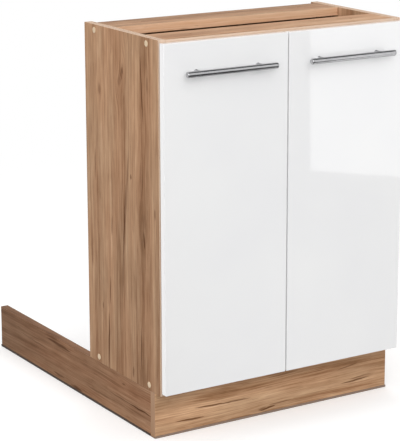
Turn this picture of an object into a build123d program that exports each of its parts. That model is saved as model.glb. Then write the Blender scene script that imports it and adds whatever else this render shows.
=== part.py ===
"""A two-door kitchen island base unit with a front plinth and a long side plinth.

Sizes are in millimetres. While the unit is built, X runs to the right from the left panel's outer face,
Y runs backwards from the front of the cabinet body, and Z runs up from the floor. Every piece is then
written with the origin on the floor, under the middle of the whole unit.
"""

from build123d import *
import math
import os

# Cabinet body
cabinet_width = 600.0
cabinet_depth = 304.0
body_height = 740.0
plinth_height = 100.0
board = 18.0
edge_band = 1.0
rail_width = 80.0

# Back panel in its grooves
back_thickness = 3.0
back_inset = 20.0
groove_depth = 8.0
groove_slack = 0.2

# Shelf and the rows of pin holes
shelf_row = 5
shelf_side_slack = 0.75
shelf_front_setback = 20.0
row_setback = 37.0
row_end_distance = 198.0
row_pitch = 32.0
row_count = 12
row_hole_radius = 2.5
row_hole_depth = 10.0
pin_collar_radius = 4.0
pin_collar_thickness = 1.5
pin_nose_length = 9.0
pin_nose_width = 6.0
pin_nose_height = 5.0

# Hexagons, and cross recesses as shares of a screw head's radius and thickness
hexagon = 6
recess_length_share = 1.1
recess_width_share = 0.22
recess_depth_share = 0.6

# Corner joints: connecting screws under cover caps, and dowels
screw_length = 50.0
screw_core_radius = 2.5
screw_shank_radius = 3.5
screw_head_radius = 5.0
screw_head_thickness = 3.0
screw_edge_distance = 12.0
front_screw_setback = 47.0
rear_screw_inset = 42.0
socket_across_flats = 4.0
socket_depth = 2.5
cap_radius = 6.5
cap_thickness = 0.8
cap_edge_radius = 0.5
cap_spigot_length = 1.8
dowel_radius = 4.0
dowel_length = 34.0
dowel_panel_depth = 12.0
dowel_offset = 25.0
bottom_dowel_offset = 70.0
fit_slack = 0.05

# Back nails
nail_radius = 0.8
nail_length = 16.0
nail_head_radius = 2.0
nail_head_thickness = 0.8
nail_count = 5
nail_edge_distance = 60.0

# Doors
door_thickness = 16.0
door_gap = 2.0
door_side_reveal = 1.5
door_middle_gap = 3.0
door_end_reveal = 5.0
door_edge_radius = 1.0
bumper_radius = 4.0
bumper_inset = 14.0
bumper_end_distance = 6.0
bumper_clearance = 0.2
bumper_edge_radius = 0.6

# Handles
handle_drop = 62.0
handle_length = 216.0
handle_radius = 6.0
handle_standoff = 22.0
post_spacing = 148.0
post_step = 0.5
handle_end_chamfer = 0.8
handle_screw_radius = 2.0
handle_screw_head_radius = 4.0
handle_screw_head_thickness = 2.4
handle_screw_bite = 12.0

# Hinges: a single pin in a cup sunk in the door, and an arm on a plate inside the cabinet
hinge_end_distance = 100.0
cup_radius = 17.5
cup_depth = 13.0
cup_edge_wall = 3.0
cup_wall = 0.9
cup_slot_half_width = 3.6
cup_slot_reach = 9.0
cup_floor = 1.0
flange_thickness = 1.2
flange_half_length = 30.0
flange_edge_setback = 4.0
flange_inner_reach = 34.0
flange_corner_radius = 5.0
cup_screw_spacing = 48.0
cup_screw_offset = 6.0
cup_screw_radius = 1.75
cup_screw_head_radius = 3.4
cup_screw_head_thickness = 0.9
cup_screw_length = 11.0
pivot_edge_distance = 6.3
pivot_depth = 9.8
pivot_pin_radius = 1.0
pivot_pin_half_length = 7.5
eye_radius = 1.9
arm_half_width = 3.2
arm_strip = 2.6
nose_inset = 4.5
plate_setback = 37.0
plate_thickness = 2.5
plate_depth = 34.0
plate_half_height = 24.0
plate_corner_radius = 4.0
plate_screw_spacing = 32.0
plate_screw_radius = 2.4
plate_screw_head_radius = 4.2
plate_screw_head_thickness = 1.6
plate_screw_length = 12.0
rib_height = 7.0
rib_half_width = 5.5
rib_front = 14.0
rib_length = 46.0
channel_half_width = 8.0
channel_wall = 1.6
channel_edge_share = 0.9
channel_front = 11.0
channel_length = 54.0
channel_gap = 0.3
arm_screw_inset = 11.0
arm_screw_radius = 2.5
arm_screw_head_radius = 3.8
arm_screw_head_thickness = 1.8
arm_screw_length = 7.0

# Plinths
plinth_setback = 24.0
side_plinth_end = 750.0
plinth_top_gap = 0.3
plinth_edge_radius = 1.5
seal_wall = 1.0
seal_height = 5.0
seal_base = 1.5
seal_end = 1.5

# Legs
leg_plinth_slack = 2.0
leg_rear_distance = 66.0
socket_plate_margin = 2.7
socket_plate_thickness = 5.0
sleeve_wall = 3.0
sleeve_height = 15.0
leg_tube_radius = 15.8
leg_tube_bottom = 34.0
leg_bore_radius = 11.0
thread_slack = 0.1
thread_top = 62.0
thread_run_out = 1.0
foot_radius = 25.0
foot_thickness = 5.0
foot_edge_radius = 2.0
foot_hex_across = 27.0
foot_hex_height = 9.0
socket_screw_radius = 2.0
socket_screw_head_radius = 3.8
socket_screw_length = 14.0
socket_screw_gap = 2.85
socket_screw_angles = (45, 135, 225, 315)

# Plinth clips and the corner bracket
clip_wall = 3.0
clip_height = 10.0
clip_slack = 0.1
clip_mouth = 20.0
clip_stem_width = 8.0
clip_base_thickness = 3.0
clip_base_length = 42.0
clip_base_height = 12.0
clip_screw_spacing = 30.0
clip_sleeve_gap = 4.0
clip_step = 14.0
side_clip_turn = -90.0
small_screw_radius = 1.7
small_screw_head_radius = 3.2
small_screw_head_thickness = 1.2
small_screw_length = 13.0
bracket_leg = 28.0
bracket_thickness = 2.0
bracket_bottom = 14.0
bracket_clip_gap = 7.0
bracket_screw_reach = 18.0
bracket_screw_share = 0.25

# Worktop fixing holes in the rails, and joining holes in the right panel
worktop_hole_radius = 2.5
worktop_hole_inset = 100.0
joining_hole_radius = 2.5
joining_hole_setback = 60.0
joining_hole_end_distance = 130.0

# Places worked out from the sizes above
top = plinth_height + body_height
inner_left = board
inner_right = cabinet_width - board
underside = plinth_height
bottom_top = plinth_height + board
rail_underside = top - board
back_front_face = cabinet_depth - back_inset - back_thickness
back_rear_face = back_front_face + back_thickness
rear_rail_back = back_front_face - groove_slack
rear_rail_front = rear_rail_back - rail_width
front_rail_back = edge_band + rail_width
door_back = -door_gap
door_front = -door_gap - door_thickness
door_bottom = plinth_height + door_end_reveal
door_top = top - door_end_reveal
door_width = (cabinet_width - 2 * door_side_reveal - door_middle_gap) / 2
handle_axis_y = door_front - handle_standoff
handle_height = door_top - handle_drop
hinge_heights = (door_bottom + hinge_end_distance, door_top - hinge_end_distance)
plinth_back = plinth_setback + board
joint_heights = (underside + screw_edge_distance, top - screw_edge_distance)
joint_setbacks = (front_screw_setback, cabinet_depth - rear_screw_inset)
row_setbacks = (row_setback, back_front_face - row_setback)
row_start = underside + row_end_distance
pin_height = row_start + shelf_row * row_pitch
shelf_height = pin_height + pin_nose_height / 2
post_radius = handle_radius - post_step
cup_edge_distance = cup_radius + cup_edge_wall
sleeve_radius = leg_tube_radius + fit_slack + sleeve_wall
sleeve_bottom = underside - socket_plate_thickness - sleeve_height
socket_screw_circle = sleeve_radius + socket_screw_head_radius + socket_screw_gap
socket_plate_radius = socket_screw_circle + socket_screw_head_radius + socket_plate_margin
side_clip_height = sleeve_bottom - clip_sleeve_gap - clip_height / 2
front_clip_height = side_clip_height - clip_step
bracket_top = front_clip_height - clip_base_height / 2 - bracket_clip_gap
leg_plinth_distance = socket_plate_radius + leg_plinth_slack
left_leg_x = board + leg_plinth_distance
leg_xs = (left_leg_x, cabinet_width - left_leg_x)
front_leg_y = plinth_back + leg_plinth_distance
rear_leg_y = cabinet_depth - leg_rear_distance
leg_ys = (front_leg_y, rear_leg_y)

# The whole unit's reach, which sets where the origin lies
reach_front = handle_axis_y - handle_radius
reach_back = side_plinth_end + seal_end
origin_shift = Pos(-cabinet_width / 2, -(reach_front + reach_back) / 2, 0)
middle_plane = Plane.YZ.offset(cabinet_width / 2)


def block(x_range, y_range, z_range):
    """A cuboid between a low and a high value on each axis."""
    sizes = [high - low for low, high in (x_range, y_range, z_range)]
    corner = Pos(x_range[0], y_range[0], z_range[0])
    return corner * Box(*sizes, align=(Align.MIN, Align.MIN, Align.MIN))


def centred(middle, half):
    """The range that reaches half each way from its middle."""
    return (middle - half, middle + half)


def rod(start, direction, radius, length):
    """A cylinder that starts at a point and runs along a direction."""
    place = Plane(origin=start, z_dir=direction)
    return place * Cylinder(radius, length, align=(Align.CENTER, Align.CENTER, Align.MIN))


def mirrored(shape):
    """The same piece on the other side of the unit's middle plane."""
    return mirror(shape, about=middle_plane)


def both_sides(shapes):
    """Each piece of the left side, with its mirrored twin on the right."""
    return shapes + [mirrored(shape) for shape in shapes]


def save(name, *pieces):
    """Writes one node: its solids stay separate and move to the unit's own origin."""
    solids = []
    for piece in pieces:
        solids.extend(piece.solids())
    placed = [origin_shift * solid for solid in solids]
    node = placed[0] if len(placed) == 1 else Compound(children=placed)
    export_step(node, f"parts/{name}.step")


def headed_screw(head_face, direction, shank_radius, length, head_radius, head_thickness):
    """A flat-headed screw with a cross recess. Its head's top lies on head_face."""
    shank = rod(head_face, direction, shank_radius, length)
    head = rod(head_face, direction, head_radius, head_thickness)
    place = Plane(origin=head_face, z_dir=direction)
    slot_length = head_radius * recess_length_share
    slot_width = head_radius * recess_width_share
    slot_depth = head_thickness * recess_depth_share
    low = (Align.CENTER, Align.CENTER, Align.MIN)
    cross = Box(slot_length, slot_width, slot_depth, align=low)
    cross += Box(slot_width, slot_length, slot_depth, align=low)
    return shank + head - place * cross


# Corner joints of the left side, shared by the panel, the boards and the fasteners
screw_points = [(y, z) for z in joint_heights for y in joint_setbacks]
dowel_points = [(front_screw_setback + dowel_offset, top - board / 2)]
dowel_points += [(joint_setbacks[1] - dowel_offset, top - board / 2)]
dowel_points += [(front_screw_setback + bottom_dowel_offset, underside + board / 2)]
dowel_points += [(joint_setbacks[1] - bottom_dowel_offset, underside + board / 2)]


def connecting_screw(y, z, slack=0.0):
    """A connecting screw in from the left, or with slack the hole that takes it."""
    head = rod((0, y, z), (1, 0, 0), screw_head_radius + slack, screw_head_thickness + slack)
    shank = rod((0, y, z), (1, 0, 0), screw_shank_radius + slack, board)
    core = rod((0, y, z), (1, 0, 0), screw_core_radius + slack, screw_length + slack)
    return head + shank + core


def screw_socket(y, z):
    """The hexagonal recess in a connecting screw's head."""
    place = Plane(origin=(0, y, z), z_dir=(1, 0, 0))
    return extrude(place * RegularPolygon(socket_across_flats / 2, hexagon, major_radius=False), socket_depth)


def cover_cap(y, z):
    """A round cap over a connecting screw, with a spigot in the screw's recess."""
    disc = rod((-cap_thickness, y, z), (1, 0, 0), cap_radius, cap_thickness)
    rim = disc.faces().sort_by(Axis.X)[0].edges()
    disc = fillet(rim, cap_edge_radius)
    spigot_radius = socket_across_flats / 2 - fit_slack
    return disc + rod((0, y, z), (1, 0, 0), spigot_radius, cap_spigot_length)


def dowel(y, z, slack=0.0):
    """A dowel across the joint, or with slack the hole that takes it."""
    start = board - dowel_panel_depth
    return rod((start - slack, y, z), (1, 0, 0), dowel_radius + slack, dowel_length + 2 * slack)


screws_left = [connecting_screw(y, z) - screw_socket(y, z) for y, z in screw_points]
screw_holes_left = [connecting_screw(y, z, fit_slack) for y, z in screw_points]
caps_left = [cover_cap(y, z) for y, z in screw_points]
dowels_left = [dowel(y, z) for y, z in dowel_points]
dowel_holes_left = [dowel(y, z, fit_slack) for y, z in dowel_points]
joint_holes_left = screw_holes_left + dowel_holes_left
joint_holes = both_sides(joint_holes_left)

# Hinge places on the left side
pivot_x = door_side_reveal + pivot_edge_distance
pivot_y = door_back - pivot_depth
cup_x = door_side_reveal + cup_edge_distance
cup_floor_y = door_back - cup_depth
plate_top_x = board + plate_thickness
rib_top_x = plate_top_x + rib_height
channel_inner_x = rib_top_x + channel_gap
channel_outer_x = channel_inner_x + channel_wall
nose_x = board + nose_inset
cup_screw_x = cup_x + cup_screw_offset
plate_range_y = centred(plate_setback, plate_depth / 2)
arm_screw_ys = (rib_front + arm_screw_inset, rib_front + rib_length - arm_screw_inset)


def plate_screw_points(height):
    """Where a mounting plate's two screws stand, one above the other."""
    half = plate_screw_spacing / 2
    return [(plate_setback, height - half), (plate_setback, height + half)]


def hinge_plate(height):
    """A mounting plate on the inner face of the left panel, with the rib that carries the arm."""
    base = block((board, plate_top_x), plate_range_y, centred(height, plate_half_height))
    base = fillet(base.edges().filter_by(Axis.X), plate_corner_radius)
    rib_range = (rib_front, rib_front + rib_length)
    rib = block((board, rib_top_x), rib_range, centred(height, rib_half_width))
    plate = base + rib
    for y, z in plate_screw_points(height):
        plate -= rod((board, y, z), (1, 0, 0), plate_screw_radius + fit_slack, plate_thickness)
        sunk = plate_top_x - plate_screw_head_thickness
        plate -= rod((sunk, y, z), (1, 0, 0), plate_screw_head_radius + fit_slack, rib_height)
    for y in arm_screw_ys:
        plate -= rod((board, y, height), (1, 0, 0), arm_screw_radius + fit_slack, rib_top_x - board)
    return plate


def hinge_arm(height):
    """A hinge arm: a channel over the plate's rib, and a hooked nose that reaches the pin in the cup."""
    y_range = (channel_front, channel_front + channel_length)
    shell = block((plate_top_x + channel_gap, channel_outer_x), y_range, centred(height, channel_half_width))
    inside = centred(height, channel_half_width - channel_wall)
    hollow_y = (channel_front + channel_wall, channel_front + channel_length)
    shell -= block((plate_top_x, channel_inner_x), hollow_y, inside)
    shell = fillet(shell.edges().filter_by(Axis.Y).sort_by(Axis.X)[-2:], channel_wall * channel_edge_share)
    crown = (channel_outer_x - arm_strip / 2, channel_front + channel_wall)
    knee = (nose_x, -door_gap / 2)
    heel = (nose_x, pivot_y)
    pivot = (pivot_x, pivot_y)
    nose = Sketch()
    for start, end in ((crown, knee), (knee, heel), (heel, pivot)):
        middle = ((start[0] + end[0]) / 2, (start[1] + end[1]) / 2)
        nose += SlotCenterPoint(middle, end, arm_strip)
    nose += Pos(*pivot) * Circle(eye_radius)
    nose -= Pos(*pivot) * Circle(pivot_pin_radius + fit_slack)
    nose = Pos(0, 0, height - arm_half_width) * extrude(nose, 2 * arm_half_width)
    arm = shell + nose
    for y in arm_screw_ys:
        arm -= rod((channel_inner_x, y, height), (1, 0, 0), arm_screw_radius + fit_slack, channel_wall)
    return arm


def arm_screws(height):
    """The two screws that hold and set an arm on its plate."""
    screws = []
    for y in arm_screw_ys:
        face = (channel_outer_x + arm_screw_head_thickness, y, height)
        length = arm_screw_length + arm_screw_head_thickness
        screws.append(headed_screw(face, (-1, 0, 0), arm_screw_radius, length,
                                   arm_screw_head_radius, arm_screw_head_thickness))
    return screws


def plate_screws(height):
    """The two screws that hold a mounting plate on the side panel."""
    return [headed_screw((plate_top_x, y, z), (-1, 0, 0), plate_screw_radius, plate_screw_length,
                         plate_screw_head_radius, plate_screw_head_thickness)
            for y, z in plate_screw_points(height)]


def cup_screw_heights(height):
    """The heights of the two screws of a hinge cup."""
    return (height - cup_screw_spacing / 2, height + cup_screw_spacing / 2)


def hinge_cup(height):
    """A hinge cup sunk in the left door, with its flange, the slot for the arm and the pin's ears."""
    cup = rod((cup_x, door_back, height), (0, -1, 0), cup_radius, cup_depth)
    flange_x = (door_side_reveal + flange_edge_setback, door_side_reveal + flange_inner_reach)
    flange = block(flange_x, (door_back, door_back + flange_thickness), centred(height, flange_half_length))
    flange = fillet(flange.edges().filter_by(Axis.Y), flange_corner_radius)
    slot_outer = cup_x - cup_radius + cup_wall
    slot_y = (cup_floor_y + cup_floor, door_back + flange_thickness)
    slot = block((slot_outer, cup_x + cup_slot_reach), slot_y, centred(height, cup_slot_half_width))
    hole = rod((pivot_x, pivot_y, height - pivot_pin_half_length), (0, 0, 1),
               pivot_pin_radius, 2 * pivot_pin_half_length)
    cup = cup + flange - slot - hole
    for z in cup_screw_heights(height):
        start = (cup_screw_x, door_back - cup_depth, z)
        cup -= rod(start, (0, 1, 0), cup_screw_radius + fit_slack, cup_depth + flange_thickness)
    return cup


def cup_screws(height):
    """The two screws that hold a hinge cup on the door."""
    face_y = door_back + flange_thickness + cup_screw_head_thickness
    return [headed_screw((cup_screw_x, face_y, z), (0, -1, 0), cup_screw_radius,
                         cup_screw_length, cup_screw_head_radius, cup_screw_head_thickness)
            for z in cup_screw_heights(height)]


def pivot_pin(height):
    """The pin that joins a hinge's arm and cup."""
    start = (pivot_x, pivot_y, height - pivot_pin_half_length)
    return rod(start, (0, 0, 1), pivot_pin_radius, 2 * pivot_pin_half_length)


# Cabinet body


def side_panel():
    """The left side panel, bored for the joints, the shelf pins and the hinge plates, and grooved."""
    panel = block((0, board), (edge_band, cabinet_depth), (underside, top))
    groove_y = (back_front_face - groove_slack, back_rear_face + groove_slack)
    panel -= block((board - groove_depth, board), groove_y, (underside, top))
    for y in row_setbacks:
        for step in range(row_count):
            height = row_start + step * row_pitch
            panel -= rod((board - row_hole_depth, y, height), (1, 0, 0), row_hole_radius, row_hole_depth)
    for height in hinge_heights:
        for y, z in plate_screw_points(height):
            depth = plate_screw_length - plate_thickness + fit_slack
            panel -= rod((board - depth, y, z), (1, 0, 0), plate_screw_radius + fit_slack, depth)
    for hole in joint_holes_left:
        panel -= hole
    return panel


def joining_holes():
    """The two holes through the right panel that join the unit to its neighbour."""
    heights = (underside + joining_hole_end_distance, top - joining_hole_end_distance)
    return [rod((inner_right, joining_hole_setback, z), (1, 0, 0), joining_hole_radius, board)
            for z in heights]


def worktop_holes():
    """The four holes up through the rails that take the worktop's screws."""
    rail_middles = (edge_band + rail_width / 2, rear_rail_front + rail_width / 2)
    xs = (worktop_hole_inset, cabinet_width - worktop_hole_inset)
    return [rod((x, y, rail_underside), (0, 0, 1), worktop_hole_radius, board)
            for x in xs for y in rail_middles]


def less(piece, holes):
    """The piece with every hole in the list cut from it."""
    for hole in holes:
        piece -= hole
    return piece


inner_range = (inner_left, inner_right)
left_panel = side_panel()
right_panel = less(mirrored(left_panel), joining_holes())

nail_span = cabinet_width - 2 * nail_edge_distance
nail_xs = [nail_edge_distance + nail_span * step / (nail_count - 1) for step in range(nail_count)]
nail_heights = (underside + board / 2, top - board / 2)


def back_nail(x, z):
    """A nail through the back panel into the bottom panel or the rear rail."""
    head_start = (x, back_rear_face + nail_head_thickness, z)
    head = rod(head_start, (0, -1, 0), nail_head_radius, nail_head_thickness)
    return head + rod(head_start, (0, -1, 0), nail_radius, nail_length)


nail_holes = [rod((x, back_rear_face, z), (0, -1, 0), nail_radius + fit_slack, nail_length)
              for x in nail_xs for z in nail_heights]


def socket_screw_points(x, y):
    """Where a leg socket's four screws stand."""
    points = []
    for angle in socket_screw_angles:
        turn = math.radians(angle)
        points.append((x + socket_screw_circle * math.cos(turn), y + socket_screw_circle * math.sin(turn)))
    return points


leg_places = [(x, y) for x in leg_xs for y in leg_ys]
leg_screw_bite = socket_screw_length - socket_plate_thickness
leg_screw_points = [point for x, y in leg_places for point in socket_screw_points(x, y)]
leg_screw_hole_radius = socket_screw_radius + fit_slack
leg_screw_holes = [rod((x, y, underside), (0, 0, 1), leg_screw_hole_radius, leg_screw_bite + fit_slack)
                   for x, y in leg_screw_points]

bottom_panel = block(inner_range, (edge_band, rear_rail_back), (underside, bottom_top))
bottom_panel = less(bottom_panel, joint_holes + nail_holes + leg_screw_holes)
front_rail = block(inner_range, (edge_band, front_rail_back), (rail_underside, top))
front_rail = less(front_rail, joint_holes + worktop_holes())
rear_rail = block(inner_range, (rear_rail_front, rear_rail_back), (rail_underside, top))
rear_rail = less(rear_rail, joint_holes + worktop_holes() + nail_holes)
back_x = (inner_left - groove_depth + groove_slack, inner_right + groove_depth - groove_slack)
back_z = (underside + groove_slack, top - groove_slack)
back_panel = less(block(back_x, (back_front_face, back_rear_face), back_z), nail_holes)

shelf_x = (inner_left + shelf_side_slack, inner_right - shelf_side_slack)
shelf_y = (shelf_front_setback + edge_band, back_front_face - groove_slack)
shelf = block(shelf_x, shelf_y, (shelf_height, shelf_height + board))


def shelf_pin(y):
    """A shelf pin in the left panel: a peg in the hole, a collar, and a nose with a flat top."""
    peg_start = board - row_hole_depth + fit_slack
    peg = rod((peg_start, y, pin_height), (1, 0, 0), row_hole_radius - fit_slack, row_hole_depth)
    collar = rod((board, y, pin_height), (1, 0, 0), pin_collar_radius, pin_collar_thickness)
    collar &= block((board, board + pin_collar_thickness), centred(y, board), (0, shelf_height))
    nose = block((board, board + pin_nose_length), centred(y, pin_nose_width / 2),
                 (shelf_height - pin_nose_height, shelf_height))
    return peg + collar + nose


body_front = (0, edge_band)
shelf_z = (shelf_height, shelf_height + board)
edge_bands = [
    block((0, board), body_front, (underside, top)),
    block((inner_right, cabinet_width), body_front, (underside, top)),
    block(inner_range, body_front, (underside, bottom_top)),
    block(inner_range, body_front, (rail_underside, top)),
    block(shelf_x, (shelf_front_setback, shelf_front_setback + edge_band), shelf_z),
]

# Legs


def leg_socket(x, y):
    """A leg's socket: a round plate under the bottom panel, and a sleeve round the leg tube."""
    plate_bottom = underside - socket_plate_thickness
    plate = rod((x, y, plate_bottom), (0, 0, 1), socket_plate_radius, socket_plate_thickness)
    sleeve = rod((x, y, sleeve_bottom), (0, 0, 1), sleeve_radius, sleeve_height)
    bore = rod((x, y, sleeve_bottom), (0, 0, 1), leg_tube_radius + fit_slack, sleeve_height)
    socket = plate + sleeve - bore
    for sx, sy in socket_screw_points(x, y):
        socket -= rod((sx, sy, plate_bottom), (0, 0, 1), leg_screw_hole_radius, socket_plate_thickness)
    return socket


def leg_tube(x, y):
    """A leg's fixed tube, threaded inside for the foot."""
    height = underside - socket_plate_thickness - leg_tube_bottom
    tube = rod((x, y, leg_tube_bottom), (0, 0, 1), leg_tube_radius, height)
    bore_height = thread_top - leg_tube_bottom + thread_run_out
    return tube - rod((x, y, leg_tube_bottom), (0, 0, 1), leg_bore_radius, bore_height)


def levelling_foot(x, y):
    """A foot that turns in its leg: a round base, a hexagon to grip, and the screw."""
    base = rod((x, y, 0), (0, 0, 1), foot_radius, foot_thickness)
    base = fillet(base.edges().sort_by(Axis.Z)[-1], foot_edge_radius)
    grip_shape = RegularPolygon(foot_hex_across / 2, hexagon, major_radius=False)
    grip_shape = Pos(x, y, foot_thickness) * grip_shape
    grip = extrude(grip_shape, foot_hex_height)
    screw = rod((x, y, 0), (0, 0, 1), leg_bore_radius - thread_slack, thread_top)
    return base + grip + screw


def socket_screw(x, y):
    """A screw that holds a leg socket under the bottom panel."""
    start = underside - socket_plate_thickness - small_screw_head_thickness
    return headed_screw((x, y, start), (0, 0, 1), socket_screw_radius,
                        socket_screw_length + small_screw_head_thickness,
                        socket_screw_head_radius, small_screw_head_thickness)


# Plinths, with what holds them


def plinth_clip(distance):
    """A clip round a leg at the origin. Its base lies against the plinth, at -Y."""
    inner = leg_tube_radius + clip_slack
    half = clip_height / 2
    ring = Cylinder(inner + clip_wall, clip_height)
    stem = block(centred(0, clip_stem_width / 2), (-distance, -inner), (-half, half))
    base_half = clip_base_height / 2
    base = block(centred(0, clip_base_length / 2), (-distance, clip_base_thickness - distance),
                 (-base_half, base_half))
    clip = ring + stem + base
    clip -= Cylinder(inner, clip_height)
    clip -= block(centred(0, clip_mouth / 2), (0, 2 * inner), (-half, half))
    for x in (-clip_screw_spacing / 2, clip_screw_spacing / 2):
        clip -= rod((x, -distance, 0), (0, 1, 0), small_screw_radius + fit_slack, clip_base_thickness)
    return clip


def clip_screw_set(distance):
    """The two screws of a plinth clip, placed as the clip is."""
    face_y = clip_base_thickness - distance + small_screw_head_thickness
    return [headed_screw((x, face_y, 0), (0, -1, 0), small_screw_radius, small_screw_length,
                         small_screw_head_radius, small_screw_head_thickness)
            for x in (-clip_screw_spacing / 2, clip_screw_spacing / 2)]


def clip_holes(distance):
    """The pilot holes in the plinth for a clip's screws."""
    bite = small_screw_length - clip_base_thickness
    return [rod((x, -distance, 0), (0, -1, 0), small_screw_radius + fit_slack, bite)
            for x in (-clip_screw_spacing / 2, clip_screw_spacing / 2)]


front_clip_places = [Pos(x, front_leg_y, front_clip_height) for x in leg_xs]
side_clip_places = [Pos(left_leg_x, y, side_clip_height) * Rot(0, 0, side_clip_turn) for y in leg_ys]

bracket_z = (bracket_bottom, bracket_top)
bracket_front_y = (plinth_back, plinth_back + bracket_thickness)
bracket_side_y = (plinth_back, plinth_back + bracket_leg)
corner_bracket = block((board, board + bracket_leg), bracket_front_y, bracket_z)
corner_bracket += block((board, board + bracket_thickness), bracket_side_y, bracket_z)
bracket_screw_inset = (bracket_top - bracket_bottom) * bracket_screw_share
bracket_screw_heights = (bracket_bottom + bracket_screw_inset, bracket_top - bracket_screw_inset)
bracket_screws = []
bracket_holes = []
for z in bracket_screw_heights:
    for point, direction in (
        ((board + bracket_screw_reach, plinth_back + bracket_thickness, z), (0, -1, 0)),
        ((board + bracket_thickness, plinth_back + bracket_screw_reach, z), (-1, 0, 0)),
    ):
        face = tuple(p - d * small_screw_head_thickness for p, d in zip(point, direction))
        bracket_screws.append(headed_screw(face, direction, small_screw_radius, small_screw_length,
                                           small_screw_head_radius, small_screw_head_thickness))
        bracket_holes.append(rod(point, direction, small_screw_radius + fit_slack, small_screw_length))
corner_bracket = less(corner_bracket, bracket_holes)

plinth_range = (seal_base, plinth_height - plinth_top_gap)
front_plinth = block((0, cabinet_width), (plinth_setback, plinth_back), plinth_range)
front_plinth = fillet(front_plinth.edges().filter_by(Axis.Z).sort_by(Axis.Y)[:2], plinth_edge_radius)
side_plinth = block((0, board), (plinth_back, side_plinth_end), plinth_range)
side_plinth = fillet(side_plinth.edges().filter_by(Axis.Z).sort_by(Axis.Y)[-2:], plinth_edge_radius / 2)
front_holes = [place * hole for place in front_clip_places for hole in clip_holes(leg_plinth_distance)]
side_holes = [place * hole for place in side_clip_places for hole in clip_holes(leg_plinth_distance)]
front_plinth = less(front_plinth, front_holes + bracket_holes)
side_plinth = less(side_plinth, side_holes + bracket_holes)
plinth_clips = [place * plinth_clip(leg_plinth_distance) for place in front_clip_places]
plinth_clips += [place * plinth_clip(leg_plinth_distance) for place in side_clip_places]
clip_screws = [place * screw for place in front_clip_places for screw in clip_screw_set(leg_plinth_distance)]
clip_screws += [place * screw for place in side_clip_places for screw in clip_screw_set(leg_plinth_distance)]


def seal(x_range, y_range):
    """The solid outline of a sealing profile, before the plinth's seat is cut from it."""
    return block(x_range, y_range, (0, seal_height))


front_seal_x = (-seal_wall, cabinet_width + seal_wall)
front_seal_back = plinth_back + seal_wall
front_seal = seal(front_seal_x, (plinth_setback - seal_wall, front_seal_back))
front_seal -= block(front_seal_x, (plinth_setback, plinth_back), (seal_base, seal_height))
front_seal -= block((-seal_wall, board + seal_wall), (plinth_back, front_seal_back), (seal_base, seal_height))
side_seal_y = (front_seal_back, side_plinth_end + seal_end)
side_seal = seal((-seal_wall, board + seal_wall), side_seal_y)
side_seal -= block((0, board), side_seal_y, (seal_base, seal_height))

# Doors

door_left_x = (door_side_reveal, door_side_reveal + door_width)
door_centre = (door_left_x[0] + door_left_x[1]) / 2
post_xs = (door_centre - post_spacing / 2, door_centre + post_spacing / 2)


def door():
    """The left door, with rounded edges, bored for its hinge cups and handle screws."""
    panel = block(door_left_x, (door_front, door_back), (door_bottom, door_top))
    panel = fillet(panel.edges(), door_edge_radius)
    for height in hinge_heights:
        panel -= rod((cup_x, door_back, height), (0, -1, 0), cup_radius + fit_slack, cup_depth + fit_slack)
        for z in cup_screw_heights(height):
            bite = cup_screw_length - flange_thickness - cup_screw_head_thickness + fit_slack
            panel -= rod((cup_screw_x, door_back, z), (0, -1, 0), cup_screw_radius + fit_slack, bite)
    for x in post_xs:
        start = (x, door_back, handle_height)
        panel -= rod(start, (0, -1, 0), handle_screw_radius + fit_slack, door_thickness)
    return panel


def handle_bar():
    """A round handle bar with lightly chamfered ends."""
    start = (door_centre - handle_length / 2, handle_axis_y, handle_height)
    bar = rod(start, (1, 0, 0), handle_radius, handle_length)
    return chamfer(bar.edges().filter_by(GeomType.CIRCLE), handle_end_chamfer)


def handle_post(x):
    """A post between the door's face and the bar, shaped to the bar and tapped for its screw."""
    post = rod((x, door_front, handle_height), (0, -1, 0), post_radius, handle_standoff)
    bar_start = (x - post_radius, handle_axis_y, handle_height)
    post -= rod(bar_start, (1, 0, 0), handle_radius, 2 * post_radius)
    return post - rod((x, door_front, handle_height), (0, -1, 0), handle_screw_radius + fit_slack,
                      handle_screw_bite + fit_slack)


def handle_screw(x):
    """A screw from behind the door into a handle post."""
    face = (x, door_back + handle_screw_head_thickness, handle_height)
    length = handle_screw_head_thickness + door_thickness + handle_screw_bite
    return headed_screw(face, (0, -1, 0), handle_screw_radius, length,
                        handle_screw_head_radius, handle_screw_head_thickness)


def bumper(z):
    """A soft stop on the back of the left door, near its free edge, that meets the cabinet body."""
    x = door_left_x[1] - bumper_inset
    stop = rod((x, door_back, z), (0, 1, 0), bumper_radius, door_gap - bumper_clearance)
    return fillet(stop.edges().sort_by(Axis.Y)[-1], bumper_edge_radius)


bumper_heights = (door_bottom + bumper_end_distance, door_top - bumper_end_distance)
left_door = door()
left_bumpers = [bumper(z) for z in bumper_heights]
left_posts = [handle_post(x) for x in post_xs]
left_handle_screws = [handle_screw(x) for x in post_xs]
left_cups = [hinge_cup(height) for height in hinge_heights]
left_pins = [pivot_pin(height) for height in hinge_heights]
left_cup_screws = [screw for height in hinge_heights for screw in cup_screws(height)]
left_plates = [hinge_plate(height) for height in hinge_heights]
left_arms = [hinge_arm(height) for height in hinge_heights]
left_plate_screws = [screw for height in hinge_heights for screw in plate_screws(height)]
left_arm_screws = [screw for height in hinge_heights for screw in arm_screws(height)]

# Everything is written, one file for each node

os.makedirs("parts", exist_ok=True)

save("side_panel_left", left_panel)
save("side_panel_right", right_panel)
save("bottom_panel", bottom_panel)
save("front_rail", front_rail)
save("rear_rail", rear_rail)
save("back_panel", back_panel)
save("back_nails", *[back_nail(x, z) for x in nail_xs for z in nail_heights])
save("shelf", shelf)
save("shelf_pins", *both_sides([shelf_pin(y) for y in row_setbacks]))
save("edge_bands", *edge_bands)
save("connecting_screws", *both_sides(screws_left))
save("dowels", *both_sides(dowels_left))
save("screw_caps_left", *caps_left)
save("screw_caps_right", *[mirrored(cap) for cap in caps_left])

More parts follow.
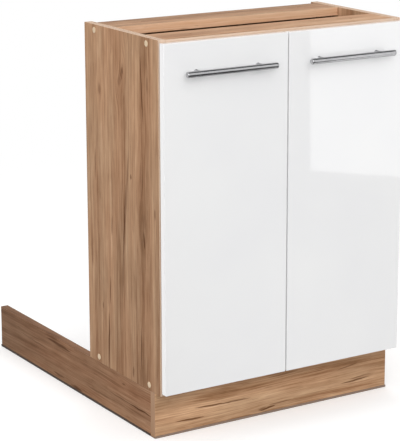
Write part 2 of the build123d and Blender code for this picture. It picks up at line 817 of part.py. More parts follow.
save("leg_sockets", *[leg_socket(x, y) for x, y in leg_places])
save("leg_socket_screws", *[socket_screw(x, y) for x, y in leg_screw_points])
save("leg_tubes", *[leg_tube(x, y) for x, y in leg_places])
for side, x in zip(("left", "right"), leg_xs):
    for end, y in zip(("front", "rear"), leg_ys):
        save(f"levelling_foot_{end}_{side}", levelling_foot(x, y))

save("front_plinth", front_plinth)
save("side_plinth", side_plinth)
save("front_plinth_seal", front_seal)
save("side_plinth_seal", side_seal)
save("plinth_clips", *plinth_clips)
save("clip_screws", *clip_screws)
save("corner_bracket", corner_bracket)
save("bracket_screws", *bracket_screws)

door_side_nodes = {
    "hinge_plates": left_plates,
    "hinge_arms": left_arms,
    "plate_screws": left_plate_screws,
    "arm_screws": left_arm_screws,
    "hinge_cups": left_cups,
    "hinge_pins": left_pins,
    "cup_screws": left_cup_screws,
    "handle_posts": left_posts,
    "handle_screws": left_handle_screws,
    "door_bumpers": left_bumpers,
    "door": [left_door],
    "handle_bar": [handle_bar()],
}
for name, pieces in door_side_nodes.items():
    save(f"{name}_left", *pieces)
    save(f"{name}_right", *[mirrored(piece) for piece in pieces])
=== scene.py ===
"""Looks of a two-door kitchen island base unit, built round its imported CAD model.

Sizes are in metres, in the frame of the CAD model: X to the right seen from the front, Y backwards,
Z up, and the origin on the floor under the middle of the whole unit.
"""

import logging
import math
from dataclasses import dataclass, replace
from enum import Enum
from functools import reduce
from typing import Callable, Sequence, Union

import bmesh
import bpy
from bmesh.types import BMEdge, BMFace, BMVert
from mathutils import Matrix, Vector


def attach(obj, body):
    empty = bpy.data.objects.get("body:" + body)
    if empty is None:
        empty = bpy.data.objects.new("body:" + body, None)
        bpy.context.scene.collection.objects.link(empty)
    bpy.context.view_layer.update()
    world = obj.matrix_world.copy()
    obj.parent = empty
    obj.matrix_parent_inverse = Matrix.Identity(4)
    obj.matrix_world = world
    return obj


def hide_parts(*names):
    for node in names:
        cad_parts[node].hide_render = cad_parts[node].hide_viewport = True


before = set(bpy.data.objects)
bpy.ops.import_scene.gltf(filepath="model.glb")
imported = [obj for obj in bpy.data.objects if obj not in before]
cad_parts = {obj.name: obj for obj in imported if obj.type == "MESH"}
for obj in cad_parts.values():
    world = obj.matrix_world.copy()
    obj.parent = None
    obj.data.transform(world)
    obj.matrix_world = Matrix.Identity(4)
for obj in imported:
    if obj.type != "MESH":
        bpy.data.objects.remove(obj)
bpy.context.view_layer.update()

MM = 0.001
MERGE_DISTANCE = 2e-6
BOX_TOLERANCE = 1e-5
FLAT_ANGLE = math.radians(0.4)
SMOOTH_ANGLE = math.radians(40.0)
SHARP_ANGLE = math.radians(60.0)
SMALL_FACE = 1e-4
ANY_FACE = 1.0
FINE_STEPS = 64
ROUND_STEPS = 40
THREAD_STEPS = 20
EASED_SEGMENTS = 3
SHARP_SEGMENTS = 2
FACE_SHARE = 0.9
LOW_NOISE = 0.3
HIGH_NOISE = 0.7
WHITE = (1.0, 1.0, 1.0, 1.0)

Material = bpy.types.Material
Pair = tuple[float, float]
Pairs = Sequence[Pair]
Triple = tuple[float, float, float]
Stops = Sequence[tuple[float, Sequence[float]]]

log = logging.getLogger("island_unit")


def linear(shade: Sequence[float]) -> tuple[float, ...]:
    """Turns a colour as a screen shows it, from 0 to 255, into the linear one that a shader takes."""
    shares = (channel / 255 for channel in shade)
    return *(s / 12.92 if s <= 0.04045 else ((s + 0.055) / 1.055) ** 2.4 for s in shares), 1.0


def in_mm(*pairs: Pair) -> Pairs:
    """Pairs of sizes that are given in millimetres, in metres."""
    return tuple((first * MM, second * MM) for first, second in pairs)


class Axis(Enum):
    """An axis of the frame, as an index into a point."""

    X = 0
    Y = 1
    Z = 2


class Side(Enum):
    """The left or the right of the unit, seen from the front."""

    LEFT = "left"
    RIGHT = "right"

    @property
    def sign(self) -> int:
        """Minus one at the left and one at the right."""
        return -1 if self is Side.LEFT else 1


def operator(operation: str, reflected: bool = False) -> Callable[["Signal", "Value"], "Signal"]:
    """Makes a method of Signal that takes two values through a Math node.

    Args:
        operation: the node's operation.
        reflected: whether the other value comes first.

    Returns:
        The method.
    """
    def method(self: "Signal", other: "Value") -> "Signal":
        """This value and another, in their order, through the Math node."""
        return self.calculate(operation, *((other, self) if reflected else (self, other)))
    return method


class Signal:
    """A node's output that Python expressions can work with."""

    def __init__(self, nodes: "Nodes", socket: bpy.types.NodeSocket) -> None:
        """Wraps a socket of a node tree."""
        self.nodes = nodes
        self.socket = socket

    def calculate(self, operation: str, *values: "Value") -> "Signal":
        """Adds a Math node with its inputs in order, and gives its value."""
        return self.nodes.get("ShaderNodeMath", {"operation": operation}, dict(enumerate(values)))

    __add__ = __radd__ = operator("ADD")
    __sub__ = operator("SUBTRACT")
    __rsub__ = operator("SUBTRACT", True)
    __mul__ = __rmul__ = operator("MULTIPLY")
    __truediv__ = operator("DIVIDE")
    __rtruediv__ = operator("DIVIDE", True)
    __pow__ = operator("POWER")
    above = operator("MAXIMUM")
    below = operator("MINIMUM")

    def __abs__(self) -> "Signal":
        """This value without its sign."""
        return self.calculate("ABSOLUTE", self)

    def step(self, start: float, end: float) -> "Signal":
        """A smooth step from 0 at start to 1 at end, which may lie below start."""
        inputs = {"Value": self, "From Min": start, "From Max": end}
        return self.nodes.get("ShaderNodeMapRange", {"interpolation_type": "SMOOTHSTEP"}, inputs)

    def spread(self, least: float, more: float) -> "Signal":
        """A least value and so much more times this one."""
        return self * more + least


Value = Union[Signal, float, Sequence[float]]
Inputs = dict[Union[int, str], Value]


class Nodes:
    """The node tree of a material or a world, and the ways to add nodes to it."""

    def __init__(self, owner: Union[Material, bpy.types.World]) -> None:
        """Empties the owner's tree, ready to be filled.

        Args:
            owner: the new material or world.
        """
        owner.use_nodes = True
        self.owner = owner
        self.tree = owner.node_tree
        self.tree.nodes.clear()

    def add(self, kind: str, settings: dict[str, object], inputs: Inputs) -> bpy.types.Node:
        """Adds a node, sets it up, and then fills or links its inputs.

        Args:
            kind: the node's type.
            settings: its properties; "stops" are a ramp's positions and linear colours.
            inputs: values or signals, by the socket's place, identifier or name.

        Returns:
            The new node.
        """
        node = self.tree.nodes.new(kind)
        for name, setting in settings.items():
            if name == "stops":
                elements = node.color_ramp.elements
                while len(elements) < len(setting):
                    elements.new(1.0)
                for element, stop in zip(elements, setting):
                    element.position, element.color = stop
            else:
                setattr(node, name, setting)
        for key, value in inputs.items():
            socket = self._socket(node, key)
            if isinstance(value, Signal):
                self.tree.links.new(value.socket, socket)
            else:
                socket.default_value = value
        return node

    @staticmethod
    def _socket(node: bpy.types.Node, key: Union[int, str]) -> bpy.types.NodeSocket:
        """Finds a node's input by its place, identifier or name."""
        same = (socket for socket in node.inputs if socket.identifier == key)
        return next(same, None) or node.inputs[key]

    def get(self, kind: str, settings: dict[str, object], inputs: Inputs,
            output: Union[int, str] = 0) -> Signal:
        """Adds a node as add does, and gives one of its outputs."""
        return Signal(self, self.add(kind, settings, inputs).outputs[output])

    def shader_of(self, kind: str, *inputs: Value) -> Signal:
        """Adds a shader of one kind, with its inputs in order."""
        return self.get("ShaderNode" + kind, {}, dict(enumerate(inputs)))

    def vector(self, x: Value, y: Value, z: Value) -> Signal:
        """Three values as one vector."""
        return self.get("ShaderNodeCombineXYZ", {}, {0: x, 1: y, 2: z})

    def place(self) -> Signal:
        """A point of the object, in metres, as one vector."""
        return self.get("ShaderNodeTexCoord", {}, {}, "Object")

    def parts(self, vector: Signal) -> tuple[Signal, ...]:
        """A vector's X, Y and Z."""
        outputs = self.add("ShaderNodeSeparateXYZ", {}, {0: vector}).outputs
        return tuple(Signal(self, output) for output in outputs)

    def noise(self, at: Signal, detail: float = 2.0, roughness: float = 0.5) -> Signal:
        """Noise about one unit across, mostly from 0.3 to 0.7, with finer octaves of some strength."""
        inputs = {"Vector": at, "Scale": 1.0, "Detail": detail, "Roughness": roughness}
        return self.get("ShaderNodeTexNoise", {}, inputs)

    def mix(self, share: Value, first: Value, second: Value, blend: str = "MIX") -> Signal:
        """Mixes a share of a second colour into a first one."""
        inputs = {"Factor_Float": share, "A_Color": first, "B_Color": second}
        return self.get("ShaderNodeMix", {"data_type": "RGBA", "blend_type": blend}, inputs, 2)

    def ramp(self, value: Signal, stops: Stops) -> Signal:
        """Turns a value into a colour, through stops of linear colour."""
        return self.get("ShaderNodeValToRGB", {"stops": stops}, {0: value})

    def shades(self, value: Signal, stops: Stops) -> Signal:
        """Turns a value into a colour, through stops of colour as a screen shows it."""
        return self.ramp(value, [(position, linear(shade)) for position, shade in stops])

    def seen(self) -> Signal:
        """Tells camera, glossy and transmission rays from the others.

        Returns:
            1 for a ray that shows a picture, and 0 for one that lights.
        """
        rays = self.add("ShaderNodeLightPath", {}, {}).outputs
        kinds = ("Camera", "Glossy", "Transmission")
        return reduce(Signal.above, [Signal(self, rays[f"Is {kind} Ray"]) for kind in kinds])


class Surface(Nodes):
    """A material's node tree, with its shader and the place on the piece as X, Y and Z."""

    def __init__(self, name: str, **constants: object) -> None:
        """Starts a material.

        Args:
            name: the material's name.
            constants: the shader's fixed values, by socket, with _ for a space.
        """
        super().__init__(bpy.data.materials.new(name))
        fixed = {key.replace("_", " "): value for key, value in constants.items()}
        self.shader = self.add("ShaderNodeBsdfPrincipled", {}, fixed)
        self.add("ShaderNodeOutputMaterial", {}, {"Surface": Signal(self, self.shader.outputs[0])})
        self.at = self.parts(self.place())

    def scaled(self, scale: Triple) -> Signal:
        """The place on the piece, with X, Y and Z scaled."""
        return self.vector(*(part * size for part, size in zip(self.at, scale)))

    def speckle(self, scale: Triple, detail: float = 2.0, roughness: float = 0.5) -> Signal:
        """Noise over the piece, with so many features in a metre along X, Y and Z."""
        return self.noise(self.scaled(scale), detail, roughness)

    @staticmethod
    def blend(first: Signal, second: Signal, share: float) -> Signal:
        """A share of one noise, and the rest of another."""
        return first * share + second * (1 - share)

    def between(self, noise: Signal, dark: Triple, light: Triple) -> Signal:
        """A colour from dark where noise is low to light where it is high."""
        return self.shades(noise, ((LOW_NOISE, dark), (HIGH_NOISE, light)))

    def dress(self, colour: Signal, roughness: Signal, height: Signal, bump: float) -> Material:
        """Links what varies over the surface to the shader.

        Args:
            colour: the base colour.
            roughness: the roughness.
            height: the relief, from 0 to 1.
            bump: the relief's height in metres.

        Returns:
            The finished material.
        """
        normal = self.get("ShaderNodeBump", {}, {"Height": height, "Distance": bump, "Strength": 1.0})
        for name, signal in (("Base Color", colour), ("Roughness", roughness), ("Normal", normal)):
            self.tree.links.new(signal.socket, self.shader.inputs[name])
        return self.owner


@dataclass(frozen=True)
class Knot:
    """A knot or smudge in the oak pattern: its middle, half sizes, darkness and lean."""

    along: float
    across: float
    half_length: float
    half_width: float
    dark: float
    lean: float = 0.0


@dataclass(frozen=True)
class Crack:
    """A tapering crack in the oak pattern, from one end to the other."""

    from_along: float
    to_along: float
    from_across: float
    to_across: float
    half_width: float
    dark: float


@dataclass(frozen=True)
class Layer:
    """A layer of grain: its features in a metre across and along, and how much it counts.

    The offset is its place in the noise, and the step turns it into spots.
    """

    across: float
    along: float
    share: float = 1.0
    offset: float = 0.0
    detail: float = 2.0
    rough: float = 0.5
    step: Pair = (0.0, 1.0)


@dataclass(frozen=True)
class Grain:
    """A place in the oak pattern: along the grain, across it, and through the board."""

    surface: Surface
    along: Signal
    across: Signal
    depth: Signal

    def noise(self, layer: Layer) -> Signal:
        """One layer's noise at this place."""
        at = (self.across * layer.across, self.along * layer.along, self.depth + layer.offset)
        return self.surface.noise(self.surface.vector(*at), layer.detail, layer.rough)

    def spots(self, layer: Layer) -> Signal:
        """One layer's spots at this place, from 0 to 1."""
        return self.noise(layer).step(*layer.step)

    def reach(self, knot: Knot, grow: float) -> Signal:
        """The squared distance from a knot's middle.

        Args:
            knot: the knot.
            grow: how much larger than the knot the ellipse is on which the distance is 1.

        Returns:
            The squared distance.
        """
        step_along = self.along - knot.along
        step_across = self.across - knot.across - step_along * knot.lean
        return ((step_along * (1 / (knot.half_length * grow))) ** 2.0
                + (step_across * (1 / (knot.half_width * grow))) ** 2.0)


@dataclass(frozen=True)
class Oak:
    """Melamine faced board with a knotty oak pattern that runs along one axis, under a level that is partly
    painted shade.
    """

    name: str
    grain: Axis
    face: Axis
    seed: float
    # Painted shade: the next two fields set the board's level. It is partly the board's own tone and partly
    # painted shade, over the whole board and as a painted falloff along the grain.
    tone: float = 1.0
    fade: float = 0.0
    knots: tuple[Knot, ...] = ()
    cracks: tuple[Crack, ...] = ()
    tint: Triple = (1.0, 1.0, 1.0)
    shades: Stops = ((0.18, (112, 76, 50)), (0.36, (150, 110, 79)), (0.51, (178, 138, 106)),
                     (0.66, (197, 157, 123)), (0.84, (220, 183, 150)))
    dark_brown: Triple = (88, 52, 28)
    brown_share: float = 0.86
    warmth_stops: Stops = ((0.36, (0.98, 1.0, 1.01, 1.0)), (0.64, (1.03, 0.99, 0.97, 1.0)))
    depth_scale: float = 5.0
    seed_gap: float = 3.7
    waves: tuple[Layer, ...] = (Layer(7.0, 3.2, 0.013, 0.0, 1.0), Layer(34.0, 15.0, 0.0018, 5.0, 1.0))
    bulge: float = 0.55
    bulge_reach: float = 1.9
    figure: tuple[Layer, ...] = (
        Layer(20.0, 0.6, 0.58), Layer(80.0, 1.3, 0.40), Layer(46.0, 11.0, 0.40, 3.0, 3.0, 0.6))
    streaks: Layer = Layer(270.0, 3.6, 0.50, 0.0, 2.0, 0.65)
    fibres: Layer = Layer(900.0, 12.0, 0.44, 0.0, 1.0)
    balance: float = 0.64
    pores: Layer = Layer(1700.0, 80.0, 0.10, 0.0, 1.0, 0.5, (0.62, 0.75))
    splits: Layer = Layer(110.0, 3.4, 0.30, 7.0, 2.0, 0.5, (0.64, 0.78))
    flecks: Layer = Layer(240.0, 22.0, 0.30, 11.0, 1.0, 0.5, (0.66, 0.78))
    warmth: Layer = Layer(24.0, 4.0, 1.0, 13.0, 1.0)
    ragged: Layer = Layer(420.0, 60.0, 1.2, 9.0, 2.0, 0.6)
    knot_step: Pair = (1.0, 0.05)
    crack_step: Pair = (1.0, 0.25)
    crack_tone: Pair = (0.9, 0.8)
    least_taper: float = 0.0001
    bends: float = 22.0
    bend_width: float = 6.0 * MM
    # Painted shade: the place along the grain at which the painted falloff leaves the level as it is.
    painted_falloff_middle: float = 0.47
    roughness: Triple = (0.46, 0.16, 0.12)
    heights: Triple = (0.45, 0.35, 0.2)
    relief: float = 0.05 * MM

    def _warped(self, grain: Grain) -> Signal:
        """The place across the grain, with its slow waves and the bulge at each knot.

        Args:
            grain: the place on straight grain.

        Returns:
            The wavy place across the grain.
        """
        wavy = grain.across
        for wave in self.waves:
            wavy = wavy + (grain.noise(wave) - 0.5) * wave.share
        for knot in self.knots:
            reach = grain.reach(knot, self.bulge_reach)
            wavy = wavy - (grain.across - knot.across) * (1.0 / (1.0 + reach * reach)) * self.bulge
        return wavy

    def _marks(self, grain: Grain) -> list[Signal]:
        """How dark each knot and crack makes a place.

        Args:
            grain: the place on straight grain.

        Returns:
            Each mark's darkness, with 1 as fully dark.
        """
        ragged = grain.noise(self.ragged)
        fray = (ragged - 0.5) * self.ragged.share
        at = grain.surface.vector(grain.depth, grain.along * self.bends, grain.depth)
        bent = grain.across + (grain.surface.noise(at) - 0.5) * self.bend_width
        marks = [(grain.reach(knot, 1.0) + fray).step(*self.knot_step) * knot.dark for knot in self.knots]
        for crack in self.cracks:
            share = (grain.along - crack.from_along) * (1 / (crack.to_along - crack.from_along))
            middle = share * (crack.to_across - crack.from_across) + crack.from_across
            taper = (share * (1.0 - share) * 4.0).above(self.least_taper) * crack.half_width
            line = (abs(bent - middle) / taper).step(*self.crack_step)
            marks.append(line * ragged.spread(*self.crack_tone) * crack.dark)
        return marks

    def make(self) -> Material:
        """Builds the material.

        Returns:
            The material.
        """
        surface = Surface(self.name, Specular_IOR_Level=0.05)
        rest = (set(Axis) - {self.grain, self.face}).pop()
        along, across, through = (surface.at[axis.value] for axis in (self.grain, rest, self.face))
        straight = Grain(surface, along, across, through * self.depth_scale + self.seed * self.seed_gap)
        wavy = replace(straight, across=self._warped(straight) + through)
        streaks, fibres = wavy.noise(self.streaks), wavy.noise(self.fibres)
        figure = sum(wavy.noise(layer) * layer.share for layer in self.figure)
        value = figure + streaks * self.streaks.share + fibres * self.fibres.share - self.balance
        warmth = surface.ramp(wavy.noise(self.warmth), self.warmth_stops)
        colour = surface.mix(1.0, surface.shades(value, self.shades), warmth, "MULTIPLY")
        pores = wavy.spots(self.pores)
        spots = [wavy.spots(layer) * layer.share for layer in (self.splits, self.flecks)]
        dark = reduce(Signal.above, spots + self._marks(straight)).below(1.0)
        brown = (dark * self.brown_share + pores * self.pores.share).below(1.0)
        colour = surface.mix(brown, colour, linear(self.dark_brown))
        # Painted shade: the board's level, tilted along the grain, darkens or lightens the whole colour where
        # less or more light falls.
        level = along * self.fade + (self.tone - self.fade * self.painted_falloff_middle)
        tint_and_shade = surface.vector(*(level * share for share in self.tint))
        smooth, on_streaks, on_dark = self.roughness
        from_fibres, from_pores, from_dark = self.heights
        height = fibres * from_fibres + (1.0 - pores) * from_pores - dark * from_dark
        return surface.dress(surface.mix(1.0, colour, tint_and_shade, "MULTIPLY"),
                             streaks * on_streaks + dark * on_dark + smooth, height, self.relief)


@dataclass(frozen=True)
class ChipCore:
    """The raw core of chipboard on a board's cut edges."""

    name: str = "chip_core"
    shades: Stops = ((0.15, (160, 130, 106)), (0.5, (202, 173, 149)), (0.9, (222, 198, 176)))
    chips: Triple = (620.0, 620.0, 620.0)
    dust: Triple = (2200.0, 2200.0, 2200.0)
    chip_share: float = 0.6
    dust_share: float = 0.5
    roughness: Pair = (0.75, 0.2)
    relief: float = 0.2 * MM

    def make(self) -> Material:
        """Builds the material.

        Returns:
            The material.
        """
        surface = Surface(self.name, Specular_IOR_Level=0.2)
        cells = {"Vector": surface.scaled(self.chips), "Scale": 1.0}
        chips = surface.get("ShaderNodeTexVoronoi", {}, cells, "Color")
        dust = surface.speckle(self.dust)
        grey = surface.get("ShaderNodeSeparateColor", {}, {0: chips})
        value = grey * self.chip_share + dust * self.dust_share
        colour = surface.shades(value, self.shades)
        return surface.dress(colour, dust.spread(*self.roughness), value, self.relief)


@dataclass(frozen=True)
class EdgeBand:
    """The oak band on front edges and plinth ends, satin plastic with a faint grain along the edge."""

    name: str = "pale_edge_band"
    shades: tuple[Triple, ...] = ((196, 164, 138), (214, 187, 164), (226, 204, 184))
    grain: Axis = Axis.Z
    lines: Pair = (9.0, 700.0)
    clouds: Pair = (5.0, 60.0)
    line_share: float = 0.6
    roughness: Pair = (0.36, 0.12)
    relief: float = 0.03 * MM

    def make(self) -> Material:
        """Builds the material.

        Returns:
            The material.
        """
        surface = Surface(self.name, Specular_IOR_Level=0.3)
        lines, clouds = (surface.speckle(tuple(along if axis is self.grain else across for axis in Axis))
                         for along, across in (self.lines, self.clouds))
        value = surface.blend(lines, clouds, self.line_share)
        colour = surface.shades(value, tuple(zip((LOW_NOISE, 0.5, HIGH_NOISE), self.shades)))
        return surface.dress(colour, lines.spread(*self.roughness), lines, self.relief)


@dataclass(frozen=True)
class WhiteGloss:
    """White high gloss lacquer, with the slightest orange peel."""

    name: str = "white_gloss_lacquer"
    dark: Triple = (239, 239, 240)
    light: Triple = (242, 242, 242)
    clouds: Triple = (5.0, 5.0, 5.0)
    peel: Triple = (260.0, 260.0, 260.0)
    roughness: Pair = (0.04, 0.03)
    relief: float = 0.0008 * MM

    def make(self) -> Material:
        """Builds the material.

        Returns:
            The material.
        """
        surface = Surface(self.name, Coat_Weight=1.0, Coat_Roughness=0.02, Coat_IOR=1.5)
        clouds, peel = surface.speckle(self.clouds), surface.speckle(self.peel, detail=1.0)
        colour = surface.between(clouds, self.dark, self.light)
        return surface.dress(colour, clouds.spread(*self.roughness), peel, self.relief)


@dataclass(frozen=True)
class BrushedSteel:
    """Steel with fine brush lines along X."""

    name: str = "brushed_handle_steel"
    dark: Triple = (168, 168, 170)
    light: Triple = (206, 206, 208)
    lines: Triple = (45.0, 5200.0, 5200.0)
    clouds: Triple = (30.0, 160.0, 160.0)
    line_share: float = 0.6
    roughness: Pair = (0.12, 0.12)
    relief: float = 0.004 * MM

    def make(self) -> Material:
        """Builds the material.

        Returns:
            The material.
        """
        surface = Surface(self.name, Metallic=1.0, Specular_Tint=(0.3, 0.3, 0.3, 1.0))
        lines, clouds = surface.speckle(self.lines, roughness=0.6), surface.speckle(self.clouds)
        colour = surface.between(surface.blend(lines, clouds, self.line_share), self.dark, self.light)
        return surface.dress(colour, lines.spread(*self.roughness), lines, self.relief)


class Plating(Enum):
    """What a steel part is plated with: its darker and lighter shade."""

    NICKEL = ((150, 148, 142), (196, 194, 188))
    ZINC = ((138, 142, 148), (190, 194, 200))


@dataclass(frozen=True)
class PlatedSteel:
    """Pressed steel under a thin plating, a little cloudy."""

    plating: Plating
    clouds: Triple = (180.0, 180.0, 180.0)
    grit: Triple = (1500.0, 1500.0, 1500.0)
    cloud_share: float = 0.8
    roughness: Pair = (0.24, 0.16)
    relief: float = 0.01 * MM

    def make(self) -> Material:
        """Builds the material.

        Returns:
            The material.
        """
        surface = Surface(self.plating.name.lower() + "_plated_steel", Metallic=1.0)
        clouds, grit = surface.speckle(self.clouds, detail=3.0, roughness=0.6), surface.speckle(self.grit)
        colour = surface.between(surface.blend(clouds, grit, self.cloud_share), *self.plating.value)
        return surface.dress(colour, clouds.spread(*self.roughness), grit, self.relief)


@dataclass(frozen=True)
class Mottled:
    """A plain material with small changes of shade: plastic, rubber, fibreboard or raw wood."""

    name: str
    dark: Triple
    light: Triple
    clouds: Triple
    roughness: float
    relief: float
    specular: float = 0.5
    finer: float = 9.0
    cloud_share: float = 0.6
    rougher: float = 0.12

    def make(self) -> Material:
        """Builds the material.

        Returns:
            The material.
        """
        surface = Surface(self.name, Specular_IOR_Level=self.specular)
        clouds = surface.speckle(self.clouds, detail=3.0, roughness=0.6)
        grain = surface.speckle(tuple(size * self.finer for size in self.clouds), detail=1.0)
        colour = surface.between(surface.blend(clouds, grain, self.cloud_share), self.dark, self.light)
        roughness = clouds.spread(self.roughness - self.rougher / 2, self.rougher)
        return surface.dress(colour, roughness, grain, self.relief)


def dress_nodes(material: Material, *nodes: str) -> None:
    """Gives CAD nodes that stay visible a material.

    Args:
        material: the material.
        nodes: the CAD nodes' names.
    """
    for node in nodes:
        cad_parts[node].data.materials[0] = material
        log.info("%s in %s", node, material.name)


def of_both(*parts: str) -> list[str]:
    """The CAD nodes of parts that each door has."""
    return [f"{part}_{side.value}" for part in parts for side in Side]


class Shape:
    """A mesh that bmesh operators build."""

    def __init__(self, node: str = "") -> None:
        """Starts an empty shape, or a copy of a CAD node with its triangles merged into whole faces.

        Args:
            node: the CAD node to copy, if any.
        """
        self.bm = bmesh.new()
        self.outwards = not node
        self.flat_area = SMALL_FACE if node else ANY_FACE
        if node:
            self.bm.from_mesh(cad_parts[node].data)
            self.merge()
            bmesh.ops.dissolve_limit(self.bm, angle_limit=FLAT_ANGLE, verts=self.bm.verts,
                                     edges=self.bm.edges, use_dissolve_boundaries=False)

    def merge(self) -> None:
        """Merges corners that share a place."""
        bmesh.ops.remove_doubles(self.bm, verts=self.bm.verts, dist=MERGE_DISTANCE)

    def turn(self, profile: Pairs, start: Vector, way: Vector, steps: int) -> None:
        """Adds a turned solid.

        Args:
            profile: pairs of a distance along the axis and a radius, from one end to the other.
            start: the point of the axis at distance 0.
            way: the axis's direction, of length 1.
            steps: faces round the axis.
        """
        side = way.orthogonal().normalized()
        corners = [self.bm.verts.new(start + way * far + side * radius) for far, radius in profile]
        lines = [self.bm.edges.new(pair) for pair in zip(corners, corners[1:])]
        bmesh.ops.spin(self.bm, geom=corners + lines, cent=start, axis=way, angle=2 * math.pi,
                       steps=steps, use_merge=True)
        self.merge()

    def push(self, faces: Sequence[BMFace], by: Sequence[float]) -> list[BMVert]:
        """Extrudes faces.

        Args:
            faces: the faces.
            by: how far and which way they go.

        Returns:
            Their corners at the far end.
        """
        pushed = bmesh.ops.extrude_face_region(self.bm, geom=faces)["geom"]
        far = [part for part in pushed if isinstance(part, BMVert)]
        bmesh.ops.translate(self.bm, verts=far, vec=by)
        return far

    def prism(self, outline: Sequence[Vector], by: Vector) -> list[BMVert]:
        """Adds a flat outline pushed along a direction, and gives its corners at the far end."""
        face = self.bm.faces.new([self.bm.verts.new(corner) for corner in outline])
        return self.push([face], by)

    def pipe(self, outer: Sequence[Vector], inner: Sequence[Vector], height: float) -> None:
        """Adds an upright pipe between two loops of as many corners.

        Args:
            outer: the outer loop at the pipe's foot.
            inner: the inner loop at its foot.
            height: how high it is.
        """
        edges = []
        for loop in (outer, inner):
            corners = [self.bm.verts.new(corner) for corner in loop]
            edges += [self.bm.edges.new(pair) for pair in zip(corners, corners[1:] + corners[:1])]
        self.push(bmesh.ops.bridge_loops(self.bm, edges=edges)["faces"], (0, 0, height))

    def coil(self, section: Pairs, foot: Vector, pitch: float, turns: int, steps: int) -> None:
        """Adds a screw thread that climbs round a vertical axis.

        Args:
            section: the thread's cross section, as pairs of a radius and a height.
            foot: the point of the axis at which the thread starts.
            pitch: how far it climbs in one turn.
            turns: how often it goes round.
            steps: faces in one turn.
        """
        corners = [self.bm.verts.new(foot + Vector((radius, 0.0, height))) for radius, height in section]
        bmesh.ops.spin(self.bm, geom=[self.bm.faces.new(corners)], cent=foot, axis=(0, 0, 1),
                       dvec=(0, 0, pitch / steps), angle=2 * math.pi * turns, steps=steps * turns)

    def bevel(self, edges: Sequence[BMEdge], radius: float, segments: int) -> None:
        """Rounds edges to a radius, with so many faces across."""
        bmesh.ops.bevel(self.bm, geom=edges, offset=radius, offset_type="OFFSET", affect="EDGES",
                        segments=segments, profile=0.5, material=-1, clamp_overlap=True)

    def ease(self, radius: float) -> None:
        """Rounds the edges that lie on the edges of the shape's own box.

        Args:
            radius: the rounding's radius.
        """
        points = [vert.co for vert in self.bm.verts]
        sides = [(axis, end(point[axis] for point in points)) for axis in range(3) for end in (min, max)]

        def touched(edge: BMEdge) -> int:
            """How many sides of the box an edge lies in."""
            return sum(all(abs(vert.co[axis] - side) < BOX_TOLERANCE for vert in edge.verts)
                       for axis, side in sides)

        self.bevel([edge for edge in self.bm.edges if touched(edge) >= 2], radius, EASED_SEGMENTS)

    def assign(self, choose: Callable[[BMFace], int]) -> None:
        """Gives each face the material slot that choose names."""
        for face in self.bm.faces:
            face.material_index = choose(face)

    def shade(self) -> None:
        """Shades small faces smoothly, and keeps large flat faces flat to their edges."""
        for face in self.bm.faces:
            face.smooth = face.calc_area() < self.flat_area
        for edge in self.bm.edges:
            joined = len(edge.link_faces) == 2 and all(face.smooth for face in edge.link_faces)
            edge.smooth = joined and edge.calc_face_angle(math.pi) < SMOOTH_ANGLE

    def finish(self, name: str, *materials: Material) -> bpy.types.Object:
        """Ends the building.

        Args:
            name: the object's name.
            materials: its materials in the order of its faces' indices.

        Returns:
            The object.
        """
        mesh = bpy.data.meshes.new(name)
        self.bm.to_mesh(mesh)
        self.bm.free()
        for material in materials:
            mesh.materials.append(material)
        piece = bpy.data.objects.new(name, mesh)
        bpy.context.scene.collection.objects.link(piece)
        return piece

    def install(self, name: str, body: str, slot: str, materials: Sequence[Material],
                *replaced: str) -> None:
        """Makes the shape a piece that stands for CAD nodes.

        Args:
            name: the piece's name.
            body: the body that it rides on.
            slot: the record's material slot, which is not used.
            materials: its materials in the order of its faces' indices.
            replaced: the CAD nodes that it stands for.
        """
        if self.outwards:
            bmesh.ops.recalc_face_normals(self.bm, faces=self.bm.faces)
        self.shade()
        piece = self.finish(name, *materials)
        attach(piece, body)
        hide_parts(*replaced)
        log.info("%s on %s, %d faces, for %s", name, body, len(piece.data.polygons), ", ".join(replaced))


@dataclass(frozen=True)
class Board:
    """One board: the CAD node that it stands for, its name as a piece, and its oak pattern."""

    node: str
    piece: str
    oak: Oak
    core_edges: bool = True
    # Painted light: a paler front edge, partly a paler band and partly painted light on an edge that lies in
    # shade.
    pale_and_lit_front: bool = False


